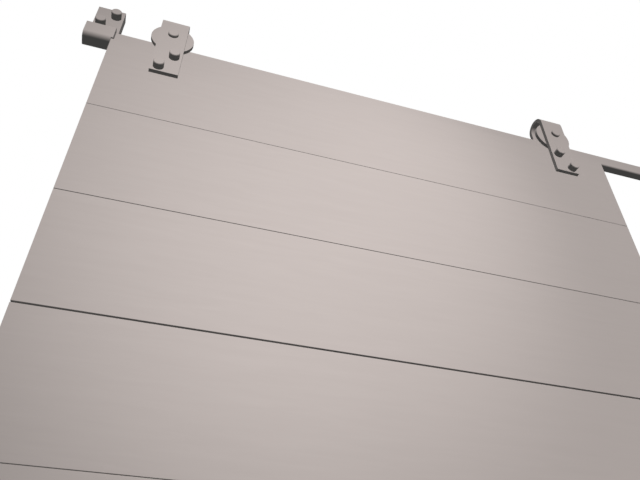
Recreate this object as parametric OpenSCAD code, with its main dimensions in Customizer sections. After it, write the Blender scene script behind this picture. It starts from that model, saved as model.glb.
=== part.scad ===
// Sliding barn door: a plank leaf hung from two bent strap hangers that roll on a wall rail.
// Millimetres. X runs along the rail, +Y goes into the wall, +Z is up.
// The wall is the plane Y = 0, and the origin is midway between the two wall bolts of the left end plate.

/* [Door leaf] */
// Width of the leaf
door_w = 993; // [800:1:1100]
// Height of one plank from seam to seam
plank_pitch = 185; // [150:5:220]
// Number of planks, the shorter top one included
plank_n = 11; // [11]
// Height of the top plank
top_plank_h = 179; // [140:1:185]
// Thickness of the planks
plank_t = 24; // [20:1:28]
// Width of the battens on the back
batten_w = 100; // [80:5:120]

/* [Rail] */
// Whole length of the track, over both end collars
track_w = 1980; // [1900:10:2200]
// Height of the rail bar
rail_h = 29; // [26:1:34]
// Thickness of the rail bar
rail_t = 17.5; // [14:0.5:18]
// Radius along the rail's edges
rail_r = 4; // [2:0.5:6]

/* [End brackets] */
// Width of the end plates
plate_w = 49; // [48:1:60]
// Thickness of the end plates, which is the gap from wall to rail
plate_t = 20; // [18:1:22]
// Top of the end plates above the bolt pair's centre
plate_top = 38; // [34:1:60]
// Length of the end collars along the rail
collar_w = 50; // [45:0.5:52]
// Radius of the collar's lower front edge
collar_r = 10.5; // [4:0.5:12]
// Offset of a wall bolt from the pair's centre, sideways
bolt_dx = 11; // [8:0.5:14]
// Offset of a wall bolt from the pair's centre, upwards
bolt_dz = 15.5; // [12:0.5:18]

/* [Hangers] */
// Distance from the leaf's left edge to the middle of the left strap
left_inset = 99.5; // [80:0.1:160]
// Distance from the leaf's right edge to the middle of the right strap
right_inset = 100.5; // [80:0.1:160]
// Width of the strap
strap_w = 49; // [44:1:54]
// Thickness of the strap
strap_t = 7; // [5:0.5:8]
// Clear gap between the strap's two legs
strap_gap = 30; // [30]
// Length of the front leg below the leaf's top edge
strap_drop = 66; // [60:1:120]

/* [Wheels] */
// Radius of the tread that rolls on the rail
tread_r = 13; // [13:0.5:16]
// Radius of the front flange
flange_r = 38; // [30:1:38]
// Thickness of the front flange
flange_t = 7; // [5:0.5:7]
// Radius of the rear flange
rear_flange_r = 19.5; // [18:0.5:21]

/* [Bolt heads] */
// Radius of the round bolt heads
head_r = 9.2; // [8:0.1:11]
// Height of the wall bolt heads
wall_head_h = 14; // [6:1:16]
// Height of the hanger bolt heads
hanger_head_h = 12; // [6:1:16]
// Height of the axle bolt head
axle_head_h = 5; // [4:0.5:10]

/* [Hidden] */
$fn = 96;
eps = 0.01;
steel = "#b0a8a4";
timber = "#b4aca8";
dark_rubber = "#8d8784";

// Levels along Y, from the wall forwards
rail_back = -plate_t;
rail_front = rail_back - rail_t;
leaf_front = -46;
leaf_back = leaf_front + plank_t;
batten_back = -6;
collar_front = rail_front - 10.5;
strap_front = leaf_front - strap_t;
back_leg = leaf_front + strap_gap;
bend_y = leaf_front + strap_gap / 2;

// Levels along Z
rail_bottom = -82.5;
rail_top = rail_bottom + rail_h;
rail_mid = rail_bottom + 13;
leaf_top = rail_bottom - 4;
leaf_bottom = leaf_top - top_plank_h - (plank_n - 1) * plank_pitch;
collar_bottom = rail_bottom - 10.5;
gusset_low = rail_bottom + 0.5;
gusset_high = gusset_low + 26;
roll_gap = 0.05;
axle_z = rail_top + roll_gap + tread_r;
bend_z = axle_z + 33;
strap_bottom = leaf_top - strap_drop;
back_leg_bottom = rail_top + 1;
floor_z = leaf_bottom - 10;

// Places along X
track_x0 = -25.5;
track_mid = track_x0 + track_w / 2;
rail_pocket = 29;
rail_x0 = track_x0 + collar_w - rail_pocket;
rail_len = 2 * (track_mid - rail_x0);
leaf_x0 = track_x0 + collar_w - 3;
relief_x = leaf_x0 - 0.5;
leaf_mid = leaf_x0 + door_w / 2;
left_hanger_x = leaf_x0 + left_inset;
right_hanger_x = leaf_x0 + door_w - right_inset;
batten_xs = [left_hanger_x, leaf_mid, right_hanger_x];

// Wall fixings
lag_r = 5;
lag_thread_r = 4.8;
lag_depth = 25;
stud_depth = 50;
thread_tip = 8;
standoff_n = 3;
standoff_pitch = 2 * track_mid / (standoff_n + 1);
standoff_r = 8;
stud_r = 4;
stud_thread_r = 3.8;
stud_in_rail = 8;
screw_r = 3;
screw_thread_r = 2.8;
screw_head_r = 5.5;
fit = 0.1;

// Planks: gap at the seam below each plank, and the tongue that closes it
seam_gap = [0.6, 0.9, 2.4, 0.8, 0.9, 0.7, 1.2, 0.8, 0.9, 1.0, 0];
tongue_t = 8;
tongue_h = 10;
tongue_slack = 0.3;
edge_bevel = 0.3;
guide_slot_t = 10;
guide_slot_h = 18;

// Batten screws
wood_screw_r = 2;
wood_screw_head_r = 4;
wood_screw_len = 30;
wood_screw_dx = 30;

// Hanger bolts and their sleeve nuts, placed from the strap's middle
hanger_bolt_r = 5;
hanger_bolts = [[11, leaf_top - 19.5], [-10.5, leaf_top - 54.5]];
sleeve_r = 6.4;
sleeve_len = 14;
sleeve_flange_r = 9.3;
sleeve_flange_t = 2;

// Axle and bearings
axle_r = 4;
axle_fit = 0.1;
axle_end = -3.2;
axle_nut_h = 5;
axle_nut_flats = 13;
ring_bore_r = 4.05;
bearing_r = 11;
bearing_t = 7;
ball_n = 7;
ball_r = 1.98;
ball_pitch_r = 7.5;
race_r = 2.03;
inner_shoulder_r = 6.05;
outer_shoulder_r = 9.6;
spacer_r = 6;
wheel_front = leaf_front + 1;
wheel_back = rail_back + 3.5;
front_bearing_y = wheel_front + 1;
rear_bearing_y = wheel_back - 1 - bearing_t;
rear_flange_t = 3;

// Floor guide
guide_x = leaf_x0 + door_w - 53;
guide_len = 34;
guide_fin_t = 6;
guide_base = [60, 40, 4];
guide_y = (leaf_front + leaf_back) / 2;
guide_screw_depth = 25;

// ---------- placing ----------
// A profile drawn in Y and Z, run out along +X
module along_x(len) rotate([90, 0, 90]) linear_extrude(len) children();

// A cylinder along +Y, starting at y
module rod(r, y, len) translate([0, y, 0]) rotate([-90, 0, 0]) cylinder(r = r, h = len);

// A cone along +Y, from radius r1 at y to r2
module cone(r1, r2, y, len) translate([0, y, 0]) rotate([-90, 0, 0]) cylinder(r1 = r1, r2 = r2, h = len);

// A profile of radius against Y, turned about the Y axis
module turned() rotate([-90, 0, 0]) rotate_extrude() children();

module box_between(a, b) translate(a) cube(b - a);

module at_right_end() translate([2 * track_mid, 0, 0]) mirror([1, 0, 0]) children();

module at_left_hanger() translate([left_hanger_x, 0, 0]) children();

module at_right_hanger() translate([right_hanger_x, 0, 0]) mirror([1, 0, 0]) children();

// ---------- track ----------
module rail_profile() {
    translate([rail_front + rail_r, rail_bottom]) square([rail_t - 2 * rail_r, rail_h]);
    translate([rail_front, rail_bottom + rail_r]) square([rail_t, rail_h - 2 * rail_r]);
    for (y = [rail_front + rail_r, rail_back - rail_r], z = [rail_bottom + rail_r, rail_top - rail_r])
        translate([y, z]) circle(rail_r);
}

function standoff_x(i) = (i + 1) * standoff_pitch;

module rail() color(steel) difference() {
    translate([rail_x0, 0, 0]) along_x(rail_len) rail_profile();
    for (i = [0 : standoff_n - 1])
        translate([standoff_x(i), 0, rail_mid]) rod(stud_r, rail_back - stud_in_rail, stud_in_rail + 1);
    for (x = [rail_end_x, 2 * track_mid - rail_end_x])
        translate([x, 0, bracket_screw_z]) rod(bracket_screw_r, rail_back - 8, 9);
}

// Cap screws sunk in the end plate, two into the collar and one into the rail's end
bracket_screw_r = 2;
bracket_cap_r = 3.8;
bracket_cap_h = 3;
bracket_seat_y = -14;
bracket_screw_z = rail_top - 10.5;
collar_screw_xs = [track_x0 + 6.5, track_x0 + 15.5];
rail_end_x = rail_x0 + 14;

// Rubber plugs in the collars' inner faces, which the leaf's edge meets at the end of its travel
buffer_y = (leaf_front + leaf_back) / 2;
buffer_z = collar_bottom + 3.1;
buffer_r = 2.2;
buffer_depth = 8;
buffer_proud = 0.4;

module wall_plate() color(steel) difference() {
    translate([-plate_w / 2, 0, 0]) along_x(plate_w)
        polygon([[rail_back, gusset_low], [0, gusset_high], [0, plate_top], [rail_back, plate_top]]);
    for (s = [-1, 1]) translate([s * bolt_dx, 0, s * bolt_dz]) rod(lag_r + fit, rail_back - 1, plate_t + 2);
    for (x = concat(collar_screw_xs, [rail_end_x])) translate([x, 0, bracket_screw_z]) {
        rod(bracket_screw_r + fit, rail_back - 1, plate_t);
        rod(bracket_cap_r + fit, bracket_seat_y, 1 - bracket_seat_y);
    }
}

// Cap screw sunk in the plate, running forwards into the part in front of it
module bracket_screw(reach) {
    rod(bracket_screw_r, rail_back - reach, bracket_seat_y - rail_back + reach + 1);
    rod(bracket_cap_r, bracket_seat_y, bracket_cap_h);
}

module collar_profile() {
    top_r = 4;
    back_r = 8;
    hull() {
        translate([collar_front + collar_r, collar_bottom + collar_r]) circle(collar_r);
        translate([rail_back - back_r, collar_bottom + back_r]) circle(back_r);
        translate([collar_front + top_r, rail_top - top_r]) circle(top_r);
        translate([rail_back - 1, rail_top - 1]) square(1);
    }
}

module end_collar() color(steel) difference() {
    translate([track_x0, 0, 0]) along_x(collar_w) collar_profile();
    // seat for the rail's end, open at the top, the back and the inner side
    box_between([rail_x0, rail_front, rail_bottom], [track_x0 + collar_w + 1, rail_back + 1, rail_top + 1]);
    for (x = collar_screw_xs) translate([x, 0, bracket_screw_z]) rod(bracket_screw_r, rail_back - 14, 15);
    // relief for the top corner of the leaf
    box_between([relief_x, collar_front - 1, collar_bottom - 1],
        [track_x0 + collar_w + 1, rail_back + 1, leaf_top + 1]);
    translate([relief_x - buffer_depth, buffer_y, buffer_z]) rotate([0, 90, 0])
        cylinder(r = buffer_r, h = buffer_depth + 1);
}

module buffer() color(dark_rubber) translate([relief_x - buffer_depth, buffer_y, buffer_z])
    rotate([0, 90, 0]) cylinder(r = buffer_r, h = buffer_depth + buffer_proud);

// A round head with a softened rim in front of y, and a shank behind it
module round_bolt(y, head, shank_r, shank_len) {
    rim = 1;
    rod(head_r - rim, y - head, head);
    cone(head_r - rim, head_r, y - head, rim);
    rod(head_r, y - head + rim, head - rim);
    rod(shank_r, y, shank_len);
}

// The pointed length that goes into the wall
module thread_in_wall(r, depth) {
    rod(r, -1, depth - thread_tip + 1);
    cone(r, 1, depth - thread_tip, thread_tip);
}

module wall_bolts() color(steel) for (s = [-1, 1]) translate([s * bolt_dx, 0, s * bolt_dz]) {
    round_bolt(rail_back, wall_head_h, lag_r, plate_t);
    thread_in_wall(lag_thread_r, lag_depth);
}

module collar_screws() color(steel) for (right = [false, true], x = collar_screw_xs)
    end_side(right) translate([x, 0, bracket_screw_z]) bracket_screw(13);

module rail_end_screws() color(steel) for (right = [false, true])
    end_side(right) translate([rail_end_x, 0, bracket_screw_z]) bracket_screw(7);

module end_side(right) if (right) at_right_end() children(); else children();

module rail_standoffs() color(steel) for (i = [0 : standoff_n - 1])
    translate([standoff_x(i), 0, rail_mid]) difference() {
        rod(standoff_r, rail_back, plate_t);
        rod(stud_r + fit, rail_back - 1, plate_t + 2);
    }

module rail_studs() color(steel) for (i = [0 : standoff_n - 1]) translate([standoff_x(i), 0, rail_mid]) {
    rod(stud_r, rail_back - stud_in_rail, stud_in_rail + plate_t);
    thread_in_wall(stud_thread_r, stud_depth);
}

// ---------- door leaf ----------
function plank_top(i) = leaf_top - (i == 0 ? 0 : top_plank_h + (i - 1) * plank_pitch + seam_gap[i - 1] / 2);
function plank_bottom(i) = leaf_top - top_plank_h - i * plank_pitch + seam_gap[i] / 2;

module plank_profile(i) {
    top = plank_top(i);
    bottom = plank_bottom(i);
    tongue_y = (leaf_front + leaf_back - tongue_t) / 2;
    has_tongue = i > 0;
    has_groove = i < plank_n - 1;
    difference() {
        union() {
            polygon([
                [leaf_front, bottom + edge_bevel], [leaf_front, top - edge_bevel],
                [leaf_front + edge_bevel, top], [leaf_back, top],
                [leaf_back, bottom], [leaf_front + edge_bevel, bottom]
            ]);
            if (has_tongue) translate([tongue_y, top - 1]) square([tongue_t, tongue_h + 1]);
        }
        if (has_groove) translate([tongue_y - tongue_slack, bottom - 1])
            square([tongue_t + 2 * tongue_slack, tongue_h + 1.5]);
        if (!has_groove) translate([guide_y - guide_slot_t / 2, bottom - 1])
            square([guide_slot_t, guide_slot_h + 1]);
    }
}

// Heights of the two screws that hold plank i to each batten
function screw_zs(i) = [plank_bottom(i) + 35, plank_top(i) - (i == 0 ? 68 : 35)];

module plank(i) color(timber) difference() {
    translate([leaf_x0, 0, 0]) along_x(door_w) plank_profile(i);
    for (x = batten_xs, s = [-1, 1], z = screw_zs(i)) translate([x + s * wood_screw_dx, 0, z])
        rod(wood_screw_r + fit, leaf_back - wood_screw_len + 15.5, wood_screw_len);
    if (i == 0) for (right = [false, true], p = hanger_bolts)
        hanger_side(right) translate([p.x, 0, p.y]) rod(hanger_bolt_r + fit, leaf_front - 1, plank_t + 2);
}

module hanger_side(right) if (right) at_right_hanger() children(); else at_left_hanger() children();

module batten(x) color(timber) difference() {
    box_between([x - batten_w / 2, leaf_back, leaf_bottom + 25], [x + batten_w / 2, batten_back, leaf_top]);
    for (i = [0 : plank_n - 1], s = [-1, 1], z = screw_zs(i)) translate([x + s * wood_screw_dx, 0, z]) {
        rod(wood_screw_r + fit, leaf_back - 1, 20);
        cone(wood_screw_r + fit, wood_screw_head_r + fit, batten_back - 2.2, 2.2 + eps);
    }
    for (right = [false, true], p = hanger_bolts)
        hanger_side(right) translate([p.x, 0, p.y]) {
            rod(hanger_bolt_r + fit, leaf_back - 1, 20);
            rod(sleeve_r + fit, batten_back - sleeve_len, sleeve_len + 1);
        }
}

module batten_screws() color(steel)
    for (x = batten_xs, s = [-1, 1], i = [0 : plank_n - 1], z = screw_zs(i))
        translate([x + s * wood_screw_dx, 0, z]) {
            rod(wood_screw_r, batten_back - wood_screw_len, wood_screw_len - 2);
            cone(wood_screw_r, wood_screw_head_r, batten_back - 2.1, 2);
        }

// ---------- hangers ----------
module strap_profile() {
    outer = strap_gap / 2 + strap_t;
    translate([strap_front, strap_bottom]) square([strap_t, bend_z - strap_bottom]);
    translate([back_leg, back_leg_bottom]) square([strap_t, bend_z - back_leg_bottom]);
    translate([bend_y, bend_z]) difference() {
        circle(outer);
        circle(strap_gap / 2);
        translate([-outer - 1, -outer - 1]) square([2 * outer + 2, outer + 1]);
    }
}

module hanger_strap() color(steel) difference() {
    translate([-strap_w / 2, 0, 0]) along_x(strap_w) strap_profile();
    translate([0, 0, axle_z]) rod(axle_r + axle_fit, strap_front - 1, strap_gap + 2 * strap_t + 2);
    for (p = hanger_bolts) translate([p.x, 0, p.y]) rod(hanger_bolt_r + fit, strap_front - 1, strap_t + 2);
}

module hanger_bolt_pair() color(steel) for (p = hanger_bolts) translate([p.x, 0, p.y])
    round_bolt(strap_front, hanger_head_h, hanger_bolt_r, batten_back - 1 - strap_front);

module sleeve_nuts() color(steel) for (p = hanger_bolts) translate([p.x, 0, p.y]) difference() {
    union() {
        rod(sleeve_r, batten_back - sleeve_len, sleeve_len);
        rod(sleeve_flange_r, batten_back, sleeve_flange_t);
    }
    rod(hanger_bolt_r, batten_back - sleeve_len - 1, sleeve_len);
}

module axle_bolt() color(steel) translate([0, 0, axle_z])
    round_bolt(strap_front, axle_head_h, axle_r, axle_end - strap_front);

module axle_nut() color(steel) translate([0, back_leg + strap_t, axle_z]) rotate([-90, 0, 0]) difference() {
    cylinder(r = axle_nut_flats / sqrt(3), h = axle_nut_h, $fn = 6);
    translate([0, 0, -1]) cylinder(r = axle_r, h = axle_nut_h + 2);
}

module spacer(y, len) difference() {
    rod(spacer_r, y, len);
    rod(axle_r + axle_fit, y - 1, len + 2);
}

module axle_spacers() color(steel) translate([0, 0, axle_z]) {
    spacer(leaf_front, front_bearing_y - leaf_front);
    spacer(front_bearing_y + bearing_t, rear_bearing_y - front_bearing_y - bearing_t);
    spacer(rear_bearing_y + bearing_t, back_leg - rear_bearing_y - bearing_t);
}

module each_bearing() for (y = [front_bearing_y, rear_bearing_y]) translate([0, y, axle_z]) children();

module bearing_inner_rings() color(steel) each_bearing() turned() difference() {
    translate([ring_bore_r, 0]) square([inner_shoulder_r - ring_bore_r, bearing_t]);
    translate([ball_pitch_r, bearing_t / 2]) circle(race_r);
}

module bearing_outer_rings() color(steel) each_bearing() turned() difference() {
    translate([outer_shoulder_r, 0]) square([bearing_r - outer_shoulder_r, bearing_t]);
    translate([ball_pitch_r, bearing_t / 2]) circle(race_r);
}

module bearing_balls() color(steel) each_bearing() for (i = [0 : ball_n - 1])
    rotate([0, 360 * i / ball_n, 0]) translate([ball_pitch_r, bearing_t / 2, 0]) sphere(ball_r);

// Front flange over the rail's face, tread on its top edge, small rear flange behind it
module wheel() color(steel) translate([0, 0, axle_z]) turned() {
    bevel = 0.3;
    web_r = 8.6;
    y1 = wheel_front + flange_t;
    y2 = wheel_back - rear_flange_t;
    polygon([
        [bearing_r, wheel_front], [flange_r - bevel, wheel_front], [flange_r, wheel_front + bevel],
        [flange_r, y1 - bevel], [flange_r - bevel, y1], [tread_r, y1],
        [tread_r, y2], [rear_flange_r, y2], [rear_flange_r, wheel_back], [bearing_r, wheel_back],
        [bearing_r, rear_bearing_y], [web_r, rear_bearing_y],
        [web_r, front_bearing_y + bearing_t], [bearing_r, front_bearing_y + bearing_t]
    ]);
}

// ---------- floor guide ----------
module floor_guide() color(steel) difference() {
    union() {
        box_between([guide_x - guide_base.x / 2, guide_y - guide_base.y / 2, floor_z],
            [guide_x + guide_base.x / 2, guide_y + guide_base.y / 2, floor_z + guide_base.z]);
        box_between([guide_x - guide_len / 2, guide_y - guide_fin_t / 2, floor_z + guide_base.z - 1],
            [guide_x + guide_len / 2, guide_y + guide_fin_t / 2, leaf_bottom + guide_slot_h - 4]);
    }
    guide_screw_places() cylinder(r = screw_r + fit, h = guide_base.z + 1);
}

module guide_screw_places() for (s = [-1, 1])
    translate([guide_x + s * 10, guide_y + s * 13, floor_z]) children();

module floor_guide_screws() color(steel) guide_screw_places() {
    cylinder(r = screw_r, h = guide_base.z);
    translate([0, 0, -guide_screw_depth]) cylinder(r = screw_thread_r, h = guide_screw_depth + 1);
    translate([0, 0, guide_base.z]) cylinder(r1 = screw_head_r, r2 = screw_r, h = 2.4);
}

rail();
wall_plate();  // left_wall_plate
at_right_end() wall_plate();  // right_wall_plate
end_collar();  // left_end_collar
at_right_end() end_collar();  // right_end_collar
wall_bolts();  // left_wall_bolts
at_right_end() wall_bolts();  // right_wall_bolts
collar_screws();
rail_end_screws();
rail_standoffs();
rail_studs();
buffer();  // left_buffer
at_right_end() buffer();  // right_buffer
floor_guide();
floor_guide_screws();
for (i = [0 : plank_n - 1]) plank(i);
batten(batten_xs[0]);  // left_batten
batten(batten_xs[1]);  // middle_batten
batten(batten_xs[2]);  // right_batten
batten_screws();
at_left_hanger() hanger_strap();  // left_hanger_strap
at_right_hanger() hanger_strap();  // right_hanger_strap
at_left_hanger() hanger_bolt_pair();  // left_hanger_bolts
at_right_hanger() hanger_bolt_pair();  // right_hanger_bolts
at_left_hanger() sleeve_nuts();  // left_sleeve_nuts
at_right_hanger() sleeve_nuts();  // right_sleeve_nuts
at_left_hanger() axle_bolt();  // left_axle_bolt
at_right_hanger() axle_bolt();  // right_axle_bolt
at_left_hanger() axle_nut();  // left_axle_nut
at_right_hanger() axle_nut();  // right_axle_nut
at_left_hanger() axle_spacers();  // left_axle_spacers
at_right_hanger() axle_spacers();  // right_axle_spacers
at_left_hanger() bearing_inner_rings();  // left_bearing_inner_rings
at_right_hanger() bearing_inner_rings();  // right_bearing_inner_rings
at_left_hanger() wheel();  // left_wheel
at_left_hanger() bearing_outer_rings();  // left_bearing_outer_rings
at_left_hanger() bearing_balls();  // left_bearing_balls
at_right_hanger() wheel();  // right_wheel
at_right_hanger() bearing_outer_rings();  // right_bearing_outer_rings
at_right_hanger() bearing_balls();  // right_bearing_balls
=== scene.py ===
"""Looks for the sliding barn door: paint on the planks, powder coat on the steel, soft light and camera.

Everything is in metres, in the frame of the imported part: X along the rail, +Y into the wall, +Z up.
"""
import math

import bmesh
import bpy
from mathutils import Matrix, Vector


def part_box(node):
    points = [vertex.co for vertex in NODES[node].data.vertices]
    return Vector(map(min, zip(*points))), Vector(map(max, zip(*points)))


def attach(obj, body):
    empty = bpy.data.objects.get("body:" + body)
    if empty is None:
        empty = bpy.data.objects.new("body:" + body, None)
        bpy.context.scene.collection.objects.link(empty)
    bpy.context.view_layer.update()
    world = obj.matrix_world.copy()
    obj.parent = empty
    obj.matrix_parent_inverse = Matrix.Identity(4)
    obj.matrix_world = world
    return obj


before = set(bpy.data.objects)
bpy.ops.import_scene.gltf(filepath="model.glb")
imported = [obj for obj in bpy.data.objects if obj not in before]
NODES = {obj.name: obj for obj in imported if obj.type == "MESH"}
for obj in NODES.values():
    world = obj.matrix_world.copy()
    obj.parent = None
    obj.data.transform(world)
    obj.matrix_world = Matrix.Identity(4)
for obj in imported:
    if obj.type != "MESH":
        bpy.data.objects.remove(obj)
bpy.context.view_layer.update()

PLANKS = sorted(name for name in NODES if name.startswith("plank_"))
BATTENS = sorted(name for name in NODES if name.endswith("_batten"))
BEARINGS = sorted(name for name in NODES if "bearing" in name)
BUFFERS = ["left_buffer", "right_buffer"]
STEEL = sorted(set(NODES) - set(PLANKS) - set(BATTENS) - set(BEARINGS) - set(BUFFERS))

# Colours, linear RGB
GREY_PAINT = (0.592, 0.519, 0.493)
GREY_COAT = (0.592, 0.519, 0.493)
GREY_RUBBER = (0.23, 0.21, 0.20)
GROUND_STEEL = (0.50, 0.49, 0.48)

# Fasteners that go into the wall: the wall bolts' head, the rail studs' shank and the length of their points
HEAD_R = 0.0092
STUD_R = 0.004
POINT_LEN = 0.008
# Their threads behind the wall plane: where they start, then core radius, crest radius and pitch
THREAD_START = 0.001
LAG_THREAD = (0.0048, 0.0052, 0.0032)
STUD_THREAD = (0.0038, 0.0042, 0.0025)
CORE_OVERLAP = 0.0001
STEPS_PER_TURN = 24
RIDGE_HALF_WIDTH = 0.4

# The camera stands in front of the leaf, low and to its left, and looks up
CAMERA_TO_LEAF = 0.6833
CAMERA_FROM_LEFT_EDGE = 0.1695
CAMERA_BELOW_TOP = 0.9610
CAMERA_PITCH = 39.9
CAMERA_TURN = 17.06
LENS_MM = 35.0
SENSOR_MM = 36.0

# Light, all without cast shadows: an even key from the front and above, two spots with soft edges along it,
# a light from behind for the back of the leaf, and a cool even fill. The spots don't stand for real lamps:
# their values are fitted, so that in the main view the leaf darkens toward the edges as a lens makes it
KEY_ELEVATION = 28.0
KEY_STRENGTH = 1.40
KEY_ANGLE = 20.0
SPOT_DISTANCE = 6.0
SPOT_RADIUS = 0.05
SPOT_FROM_LEFT_EDGE = 0.5195
SPOT_AIM_BELOW_TOP = 0.361
# Each spot: how far right of the leaf's left edge and below its top it aims, in metres, then its half angle
# in degrees, the softness of its edge and its power in watts
SPOTS = [(0.7845, 0.537, 8.15, 0.79, 345.0), (0.3125, 0.215, 5.6, 0.95, 511.0)]
BACK_STRENGTH = 2.6
BACK_ELEVATION = 35.0
FILL = (0.0766, 0.0858, 0.0869)

# Floor: how far below the guide it lies, how far it reaches and how pale it shows
FLOOR_DROP = 0.0005
FLOOR_REACH = 4.0
FLOOR_GLOW = 0.2


# ---------- node helpers ----------
def new_material(name):
    """A node material with only its Principled shader, and that shader."""
    material = bpy.data.materials.new(name)
    material.use_nodes = True
    tree = material.node_tree
    shader = next(n for n in tree.nodes if n.type == "BSDF_PRINCIPLED")
    return material, tree, shader


def add(tree, kind, inputs=(), **settings):
    node = tree.nodes.new(kind)
    for key, value in settings.items():
        setattr(node, key, value)
    for key, value in inputs:
        node.inputs[key].default_value = value
    return node


def scaled_coords(tree, scale, offset=(0.0, 0.0, 0.0)):
    """Object coordinates, stretched by scale along each axis."""
    coords = add(tree, "ShaderNodeTexCoord")
    mapping = add(tree, "ShaderNodeMapping", [("Scale", scale), ("Location", offset)])
    tree.links.new(coords.outputs["Object"], mapping.inputs["Vector"])
    return mapping.outputs["Vector"]


def noise(tree, coords, scale, detail=4.0, roughness=0.55, distortion=0.0):
    node = add(tree, "ShaderNodeTexNoise", [("Scale", scale), ("Detail", detail),
               ("Roughness", roughness), ("Distortion", distortion)])
    tree.links.new(coords, node.inputs["Vector"])
    return node.outputs["Fac"]


def remap(tree, value, low, high, out_low, out_high):
    node = add(tree, "ShaderNodeMapRange", [("From Min", low), ("From Max", high),
               ("To Min", out_low), ("To Max", out_high)])
    tree.links.new(value, node.inputs["Value"])
    return node.outputs["Result"]


def tinted(tree, colour, value):
    """The colour, multiplied by a value that varies over the surface."""
    mix = add(tree, "ShaderNodeMix", [(0, 1.0)], data_type="RGBA", blend_type="MULTIPLY")
    mix.inputs[6].default_value = (*colour, 1.0)
    tree.links.new(value, mix.inputs[7])
    return mix.outputs[2]


def product(tree, a, b):
    node = add(tree, "ShaderNodeMath", operation="MULTIPLY")
    tree.links.new(a, node.inputs[0])
    tree.links.new(b, node.inputs[1])
    return node.outputs["Value"]


def bump(tree, shader, height, strength, distance):
    node = add(tree, "ShaderNodeBump", [("Strength", strength), ("Distance", distance)])
    tree.links.new(height, node.inputs["Height"])
    tree.links.new(node.outputs["Normal"], shader.inputs["Normal"])


# ---------- materials ----------
def painted_timber(name, along, seed):
    """Matt paint over sawn boards: faint grain along one axis, and a slight change from board to board."""
    material, tree, shader = new_material(name)
    stretch = [14.0, 14.0, 14.0]
    stretch[along] = 1.1
    shift = (seed * 3.7, seed * 1.9, seed * 5.3)
    coords = scaled_coords(tree, stretch, shift)
    grain = noise(tree, coords, 9.0, detail=8.0, roughness=0.6, distortion=0.6)
    broad = noise(tree, scaled_coords(tree, (1.0, 1.0, 1.0), shift), 2.5, detail=2.0)
    shade = product(tree, remap(tree, grain, 0.3, 0.7, 0.985, 1.01),
                    remap(tree, broad, 0.3, 0.7, 0.992, 1.008))
    tree.links.new(tinted(tree, GREY_PAINT, shade), shader.inputs["Base Color"])
    tree.links.new(remap(tree, grain, 0.3, 0.7, 0.72, 0.62), shader.inputs["Roughness"])
    shader.inputs["Specular IOR Level"].default_value = 0.15
    bump(tree, shader, grain, 0.05, 0.001)
    return material


def coated_steel():
    """Matt powder coat: a fine orange-peel surface."""
    material, tree, shader = new_material("coated_steel")
    fine = noise(tree, scaled_coords(tree, (1.0, 1.0, 1.0)), 900.0, detail=2.0)
    broad = noise(tree, scaled_coords(tree, (1.0, 1.0, 1.0)), 18.0, detail=3.0)
    shade = product(tree, remap(tree, fine, 0.3, 0.7, 0.99, 1.01),
                    remap(tree, broad, 0.3, 0.7, 0.99, 1.01))
    tree.links.new(tinted(tree, GREY_COAT, shade), shader.inputs["Base Color"])
    tree.links.new(remap(tree, broad, 0.3, 0.7, 0.55, 0.62), shader.inputs["Roughness"])
    shader.inputs["Specular IOR Level"].default_value = 0.15
    bump(tree, shader, fine, 0.04, 0.0003)
    return material


def ground_steel():
    material, tree, shader = new_material("ground_steel")
    rings = noise(tree, scaled_coords(tree, (1.0, 40.0, 1.0)), 60.0, detail=3.0)
    shade = remap(tree, rings, 0.3, 0.7, 0.92, 1.05)
    tree.links.new(tinted(tree, GROUND_STEEL, shade), shader.inputs["Base Color"])
    tree.links.new(remap(tree, rings, 0.3, 0.7, 0.28, 0.4), shader.inputs["Roughness"])
    shader.inputs["Metallic"].default_value = 1.0
    return material


def buffer_rubber():
    material, tree, shader = new_material("buffer_rubber")
    grain = noise(tree, scaled_coords(tree, (1.0, 1.0, 1.0)), 500.0, detail=3.0)
    shade = remap(tree, grain, 0.3, 0.7, 0.9, 1.1)
    tree.links.new(tinted(tree, GREY_RUBBER, shade), shader.inputs["Base Color"])
    shader.inputs["Roughness"].default_value = 0.8
    bump(tree, shader, grain, 0.1, 0.0002)
    return material


def dress(names, material):
    """Gives nodes their material. They throw no light on each other, as in a plain shadowless studio."""
    for name in names:
        slots = NODES[name].data.materials
        slots.clear()
        slots.append(material)
        NODES[name].visible_diffuse = False


def dress_everything(steel):
    for i, name in enumerate(PLANKS):
        dress([name], painted_timber("paint_" + name, 0, i + 1))
    for i, name in enumerate(BATTENS):
        dress([name], painted_timber("paint_" + name, 2, i + 21))
    dress(STEEL, steel)
    dress(BEARINGS, ground_steel())
    dress(BUFFERS, buffer_rubber())


# ---------- threads ----------
def ridge(mesh, axis_x, axis_z, start, end, core_r, crest_r, pitch):
    """A helical thread ridge round an axis along Y, fading in and out over its first and last turn."""
    count = int((end - start - pitch) / pitch * STEPS_PER_TURN)
    rings = []
    for k in range(count + 1):
        angle = 2.0 * math.pi * k / STEPS_PER_TURN
        y = start + pitch * (0.5 + k / STEPS_PER_TURN)
        fade = min(1.0, k / STEPS_PER_TURN, (count - k) / STEPS_PER_TURN)
        top_r = core_r + (crest_r - core_r) * fade
        ring = []
        for r, dy in ((core_r, -RIDGE_HALF_WIDTH), (top_r, 0.0), (core_r, RIDGE_HALF_WIDTH)):
            x = axis_x + r * math.cos(angle)
            z = axis_z + r * math.sin(angle)
            ring.append(mesh.verts.new((x, y + dy * pitch, z)))
        rings.append(ring)
    for a, b in zip(rings, rings[1:]):
        mesh.faces.new((a[0], a[1], b[1], b[0]))
        mesh.faces.new((a[1], a[2], b[2], b[1]))


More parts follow.
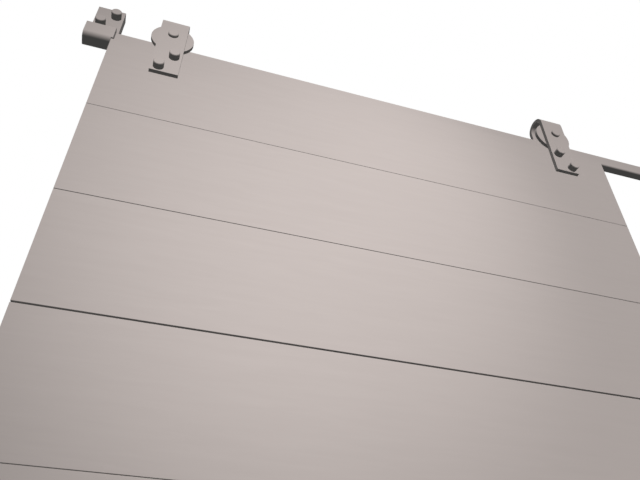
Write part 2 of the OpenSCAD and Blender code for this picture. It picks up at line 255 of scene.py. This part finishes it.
def thread_piece(name, axes, end, core_r, crest_r, pitch, material):
    """The threads of the bolts on these axes, from the wall plane back to end."""
    built = bmesh.new()
    for x, z in axes:
        ridge(built, x, z, THREAD_START, end, core_r - CORE_OVERLAP, crest_r, pitch)
    bmesh.ops.recalc_face_normals(built, faces=built.faces)
    mesh = bpy.data.meshes.new(name)
    built.to_mesh(mesh)
    built.free()
    mesh.materials.append(material)
    piece = bpy.data.objects.new(name, mesh)
    bpy.context.collection.objects.link(piece)
    piece.visible_diffuse = False
    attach(piece, "track")


def add_threads(material):
    for side in ("left", "right"):
        low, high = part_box(side + "_wall_bolts")
        mirrored = 1.0 if side == "left" else -1.0
        x, z = (low.x + high.x) / 2, (low.z + high.z) / 2
        dx, dz = (high.x - low.x) / 2 - HEAD_R, (high.z - low.z) / 2 - HEAD_R
        axes = [(x + s * mirrored * dx, z + s * dz) for s in (-1, 1)]
        thread_piece(side + "_bolt_threads", axes, high.y - POINT_LEN, *LAG_THREAD, material)
    low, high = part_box("rail_studs")
    z = (low.z + high.z) / 2
    axes = [(x, z) for x in (low.x + STUD_R, (low.x + high.x) / 2, high.x - STUD_R)]
    thread_piece("rail_stud_threads", axes, high.y - POINT_LEN, *STUD_THREAD, material)


# ---------- stage ----------
def leaf_box():
    corners = [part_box(name) for name in PLANKS]
    low = Vector([min(c[0][k] for c in corners) for k in range(3)])
    high = Vector([max(c[1][k] for c in corners) for k in range(3)])
    return low, high


def add_camera():
    low, high = leaf_box()
    camera = bpy.data.objects.new("camera", bpy.data.cameras.new("camera"))
    camera.data.lens = LENS_MM
    camera.data.sensor_width = SENSOR_MM
    camera.data.clip_start = 0.01
    camera.location = (low.x + CAMERA_FROM_LEFT_EDGE, low.y - CAMERA_TO_LEAF, high.z - CAMERA_BELOW_TOP)
    camera.rotation_euler = (math.radians(90.0 + CAMERA_PITCH), 0.0, math.radians(-CAMERA_TURN))
    bpy.context.collection.objects.link(camera)
    bpy.context.scene.camera = camera


def add_sun(name, strength, elevation, azimuth):
    """A sun at that elevation. Azimuth 0 shines along +Y, from the front."""
    data = bpy.data.lights.new(name, "SUN")
    data.energy = strength
    data.angle = math.radians(KEY_ANGLE)
    data.use_shadow = False
    lamp = bpy.data.objects.new(name, data)
    lamp.rotation_euler = (math.radians(90.0 - elevation), 0.0, math.radians(-azimuth))
    bpy.context.collection.objects.link(lamp)


def add_spot(name, start, aim, half_angle, softness, power):
    data = bpy.data.lights.new(name, "SPOT")
    data.energy = power
    data.spot_size = math.radians(2.0 * half_angle)
    data.spot_blend = softness
    data.shadow_soft_size = SPOT_RADIUS
    data.use_shadow = False
    lamp = bpy.data.objects.new(name, data)
    lamp.location = start
    lamp.rotation_euler = (aim - start).to_track_quat("-Z", "Y").to_euler()
    bpy.context.collection.objects.link(lamp)


def add_light():
    add_sun("key", KEY_STRENGTH, KEY_ELEVATION, 0.0)
    add_sun("back", BACK_STRENGTH, BACK_ELEVATION, 180.0)
    low, high = leaf_box()
    rise = math.radians(KEY_ELEVATION)
    centre = Vector((low.x + SPOT_FROM_LEFT_EDGE, low.y, high.z - SPOT_AIM_BELOW_TOP))
    start = centre + SPOT_DISTANCE * Vector((0.0, -math.cos(rise), math.sin(rise)))
    for i, (right, down, half_angle, softness, power) in enumerate(SPOTS):
        aim = Vector((low.x + right, low.y, high.z - down))
        add_spot("spot_%d" % (i + 1), start, aim, half_angle, softness, power)


def add_world():
    """White where the camera looks past the object, and a weak even fill for the light."""
    world = bpy.data.worlds.new("studio")
    bpy.context.scene.world = world
    world.use_nodes = True
    tree = world.node_tree
    tree.nodes.clear()
    fill = add(tree, "ShaderNodeBackground", [("Color", (*FILL, 1.0)), ("Strength", 1.0)])
    seen = add(tree, "ShaderNodeBackground", [("Color", (1.0, 1.0, 1.0, 1.0)), ("Strength", 1.0)])
    path = add(tree, "ShaderNodeLightPath")
    mix = add(tree, "ShaderNodeMixShader")
    out = add(tree, "ShaderNodeOutputWorld")
    tree.links.new(path.outputs["Is Camera Ray"], mix.inputs["Fac"])
    tree.links.new(fill.outputs["Background"], mix.inputs[1])
    tree.links.new(seen.outputs["Background"], mix.inputs[2])
    tree.links.new(mix.outputs["Shader"], out.inputs["Surface"])


def add_floor():
    """A pale floor under the guide. It is seen, and throws no light back up."""
    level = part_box("floor_guide")[0][2] - FLOOR_DROP
    far = FLOOR_REACH
    corners = [(-far, -far, level), (far, -far, level), (far, far, level), (-far, far, level)]
    mesh = bpy.data.meshes.new("floor")
    mesh.from_pydata(corners, [], [(0, 1, 2, 3)])
    floor = bpy.data.objects.new("floor", mesh)
    bpy.context.collection.objects.link(floor)
    material, tree, shader = new_material("floor")
    shader.inputs["Base Color"].default_value = (0.8, 0.79, 0.78, 1.0)
    shader.inputs["Roughness"].default_value = 0.9
    shader.inputs["Emission Color"].default_value = (1.0, 1.0, 1.0, 1.0)
    shader.inputs["Emission Strength"].default_value = FLOOR_GLOW
    mesh.materials.append(material)
    floor.visible_diffuse = False
    floor.visible_glossy = False


add_camera()
add_world()
add_light()
add_floor()
steel = coated_steel()
dress_everything(steel)
add_threads(steel)
bpy.context.scene.view_settings.view_transform = "Standard"
